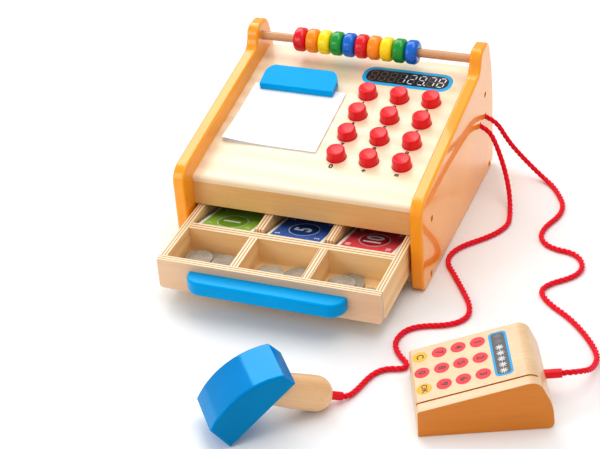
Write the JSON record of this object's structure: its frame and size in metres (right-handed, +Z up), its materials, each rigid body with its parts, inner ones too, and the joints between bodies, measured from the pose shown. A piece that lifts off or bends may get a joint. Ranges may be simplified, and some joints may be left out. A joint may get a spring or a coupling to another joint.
{
  "type": "toy cash register",
  "caption": "Wooden toy cash register with sloping key deck, abacus rod, note clip, divided money drawer, and a hand scanner and card terminal on rope cords.",
  "frame": {"origin": "middle of the register's footprint, on the plane that it stands on (underside of the bottom board)", "axes": "+X to the right of the person at the keys, +Y from that person towards the register's back, +Z up"},
  "size_m": [0.4289, 0.5071, 0.15],
  "materials": {
    "orange_paint": "gloss paint over beech",
    "pale_plywood": "satin varnish",
    "plywood": "satin varnish",
    "drawer_plywood": "satin varnish",
    "beech": "satin varnish",
    "steel": "plated",
    "foam": "soft foam",
    "white_paper": "paper",
    "printed_paper": "printed paper",
    "coin_board": "pressed board, printed",
    "blue_paint": "gloss paint over wood",
    "terminal_beech": "satin varnish",
    "red_rope": "twisted rope",
    "red_sleeve": "shrunk sleeve",
    "red_paint": "gloss paint over wood",
    "bead_red": "gloss paint",
    "bead_orange": "gloss paint",
    "bead_yellow": "gloss paint",
    "bead_green": "gloss paint",
    "bead_blue": "gloss paint"
  },
  "bodies": {
    "register": {"side_panel_screws": "steel", "left_side_panel": "orange_paint", "right_side_panel": "orange_paint", "deck_panel": "pale_plywood", "front_panel": "plywood", "back_panel": "plywood", "bottom_board": "plywood", "key_board": "plywood", "corner_blocks": "plywood", "drawer_runners": "plywood", "drawer_stop_block": "plywood", "abacus_rod": "beech", "cord_knots": "red_rope", "key_pads": "foam", "note_pad": "white_paper", "clip_pin": "steel", "clip_bracket": "steel", "clip_spring": "steel", "scanner_cord": "red_rope", "terminal_cord": "red_rope"},
    "drawer": {"drawer_front": "drawer_plywood", "drawer_left_side": "drawer_plywood", "drawer_right_side": "drawer_plywood", "drawer_back": "drawer_plywood", "drawer_bottom": "drawer_plywood", "drawer_cross_divider": "drawer_plywood", "drawer_short_dividers": "drawer_plywood", "drawer_handle": "blue_paint", "drawer_handle_screws": "steel", "coins": "coin_board", "banknotes": "printed_paper"},
    "clip": {"clip_lever": "blue_paint"},
    "scanner": {"scanner_head": "blue_paint", "scanner_handle": "beech", "scanner_ferrule": "red_sleeve"},
    "terminal": {"terminal_body": "terminal_beech", "terminal_ferrule": "red_sleeve"},
    "key_0": {"key_0": "red_paint"},
    "key_plus": {"key_plus": "red_paint"},
    "key_equals": {"key_equals": "red_paint"},
    "key_7": {"key_7": "red_paint"},
    "key_8": {"key_8": "red_paint"},
    "key_9": {"key_9": "red_paint"},
    "key_4": {"key_4": "red_paint"},
    "key_5": {"key_5": "red_paint"},
    "key_6": {"key_6": "red_paint"},
    "key_1": {"key_1": "red_paint"},
    "key_2": {"key_2": "red_paint"},
    "key_3": {"key_3": "red_paint"},
    "bead_01": {"bead_01": "bead_red"},
    "bead_02": {"bead_02": "bead_orange"},
    "bead_03": {"bead_03": "bead_yellow"},
    "bead_04": {"bead_04": "bead_green"},
    "bead_05": {"bead_05": "bead_blue"},
    "bead_06": {"bead_06": "bead_red"},
    "bead_07": {"bead_07": "bead_orange"},
    "bead_08": {"bead_08": "bead_yellow"},
    "bead_09": {"bead_09": "bead_green"},
    "bead_10": {"bead_10": "bead_blue"}
  },
  "joints": [
    {"name": "drawer_slide", "type": "slide", "parent": "register", "child": "drawer", "axis": [0, 1, 0], "range_m": [-0.045, 0.097]},
    {"name": "key_0_press", "type": "slide", "parent": "register", "child": "key_0", "axis": [0, -0.1616, 0.9869], "range_m": [-0.004, 0], "stiffness_N_per_m": 150, "springref_m": 0.002, "deforming": ["key_pads"]},
    {"name": "key_plus_press", "type": "slide", "parent": "register", "child": "key_plus", "axis": [0, -0.1616, 0.9869], "range_m": [-0.004, 0], "stiffness_N_per_m": 150, "springref_m": 0.002, "deforming": ["key_pads"]},
    {"name": "key_equals_press", "type": "slide", "parent": "register", "child": "key_equals", "axis": [0, -0.1616, 0.9869], "range_m": [-0.004, 0], "stiffness_N_per_m": 150, "springref_m": 0.002, "deforming": ["key_pads"]},
    {"name": "key_7_press", "type": "slide", "parent": "register", "child": "key_7", "axis": [0, -0.1616, 0.9869], "range_m": [-0.004, 0], "stiffness_N_per_m": 150, "springref_m": 0.002, "deforming": ["key_pads"]},
    {"name": "key_8_press", "type": "slide", "parent": "register", "child": "key_8", "axis": [0, -0.1616, 0.9869], "range_m": [-0.004, 0], "stiffness_N_per_m": 150, "springref_m": 0.002, "deforming": ["key_pads"]},
    {"name": "key_9_press", "type": "slide", "parent": "register", "child": "key_9", "axis": [0, -0.1616, 0.9869], "range_m": [-0.004, 0], "stiffness_N_per_m": 150, "springref_m": 0.002, "deforming": ["key_pads"]},
    {"name": "key_4_press", "type": "slide", "parent": "register", "child": "key_4", "axis": [0, -0.1616, 0.9869], "range_m": [-0.004, 0], "stiffness_N_per_m": 150, "springref_m": 0.002, "deforming": ["key_pads"]},
    {"name": "key_5_press", "type": "slide", "parent": "register", "child": "key_5", "axis": [0, -0.1616, 0.9869], "range_m": [-0.004, 0], "stiffness_N_per_m": 150, "springref_m": 0.002, "deforming": ["key_pads"]},
    {"name": "key_6_press", "type": "slide", "parent": "register", "child": "key_6", "axis": [0, -0.1616, 0.9869], "range_m": [-0.004, 0], "stiffness_N_per_m": 150, "springref_m": 0.002, "deforming": ["key_pads"]},
    {"name": "key_1_press", "type": "slide", "parent": "register", "child": "key_1", "axis": [0, -0.1616, 0.9869], "range_m": [-0.004, 0], "stiffness_N_per_m": 150, "springref_m": 0.002, "deforming": ["key_pads"]},
    {"name": "key_2_press", "type": "slide", "parent": "register", "child": "key_2", "axis": [0, -0.1616, 0.9869], "range_m": [-0.004, 0], "stiffness_N_per_m": 150, "springref_m": 0.002, "deforming": ["key_pads"]},
    {"name": "key_3_press", "type": "slide", "parent": "register", "child": "key_3", "axis": [0, -0.1616, 0.9869], "range_m": [-0.004, 0], "stiffness_N_per_m": 150, "springref_m": 0.002, "deforming": ["key_pads"]},
    {"name": "bead_05_slide", "type": "slide", "parent": "register", "child": "bead_05", "axis": [1, 0, 0], "range_m": [-0.02, 0]},
    {"name": "bead_04_slide", "type": "slide", "parent": "bead_05", "child": "bead_04", "axis": [1, 0, 0], "range_m": [-0.004, 0]},
    {"name": "bead_03_slide", "type": "slide", "parent": "bead_04", "child": "bead_03", "axis": [1, 0, 0], "range_m": [-0.004, 0]},
    {"name": "bead_02_slide", "type": "slide", "parent": "bead_03", "child": "bead_02", "axis": [1, 0, 0], "range_m": [-0.004, 0]},
    {"name": "bead_01_slide", "type": "slide", "parent": "bead_02", "child": "bead_01", "axis": [1, 0, 0], "range_m": [-0.004, 0]},
    {"name": "bead_06_slide", "type": "slide", "parent": "register", "child": "bead_06", "axis": [1, 0, 0], "range_m": [0, 0.035]},
    {"name": "bead_07_slide", "type": "slide", "parent": "bead_06", "child": "bead_07", "axis": [1, 0, 0], "range_m": [0, 0.005]},
    {"name": "bead_08_slide", "type": "slide", "parent": "bead_07", "child": "bead_08", "axis": [1, 0, 0], "range_m": [0, 0.005]},
    {"name": "bead_09_slide", "type": "slide", "parent": "bead_08", "child": "bead_09", "axis": [1, 0, 0], "range_m": [0, 0.005]},
    {"name": "bead_10_slide", "type": "slide", "parent": "bead_09", "child": "bead_10", "axis": [1, 0, 0], "range_m": [0, 0.005]},
    {"name": "clip_hinge", "type": "hinge", "parent": "register", "child": "clip", "pos_m": [-0.05575, 0.04865, 0.11148], "axis": [1, 0, 0], "range_deg": [-25, 0], "stiffness_Nm_per_rad": 0.08, "springref_deg": 11.46, "deforming": ["clip_spring"]},
    {"name": "scanner_lift", "type": "slide", "parent": "register", "child": "scanner", "axis": [0, 0, 1], "range_m": [0, 0.06]},
    {"name": "terminal_lift", "type": "slide", "parent": "register", "child": "terminal", "axis": [0, 0, 1], "range_m": [0, 0.06]}
  ]
}
